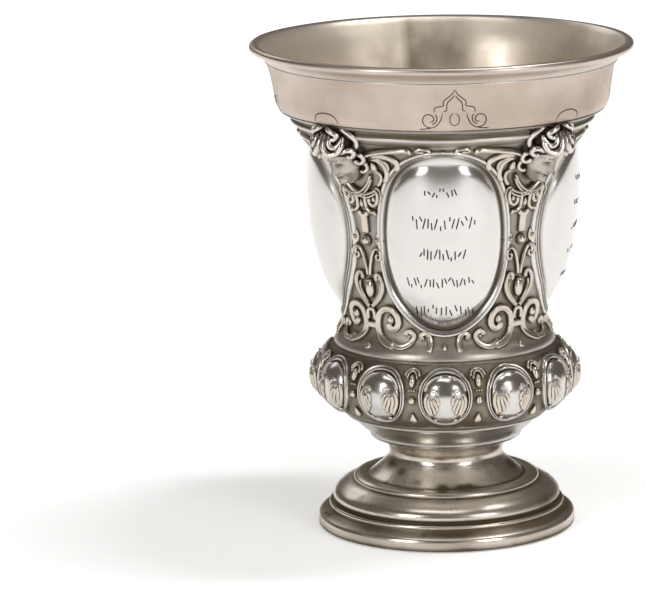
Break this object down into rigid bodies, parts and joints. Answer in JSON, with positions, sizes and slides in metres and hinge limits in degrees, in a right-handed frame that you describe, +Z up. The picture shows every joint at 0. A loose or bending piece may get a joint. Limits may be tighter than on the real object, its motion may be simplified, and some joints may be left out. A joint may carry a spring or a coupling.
{
  "type": "kiddush cup",
  "caption": "Footed silver kiddush cup with a flared rim band, a lobed body with oval cartouches and cast masks, a bossed knop ring and a hollow stepped foot.",
  "frame": {"origin": "middle of the foot's underside, on the surface that the cup stands on", "axes": "+Z up along the cup's axis; one cartouche faces -Y, and the masks stand between the cartouches at 45 degrees"},
  "size_m": [0.1008, 0.1008, 0.13],
  "materials": {
    "silver_chased": "polished silver with brown patina in the recesses",
    "silver_spun": "polished silver, softly worn and scratched",
    "silver_cast": "cast silver, dark in the recesses"
  },
  "bodies": {
    "root": {"bowl": "silver_chased", "foot": "silver_spun", "mask_front_right": "silver_cast", "mask_back_right": "silver_cast", "mask_back_left": "silver_cast", "mask_front_left": "silver_cast"}
  },
  "joints": []
}
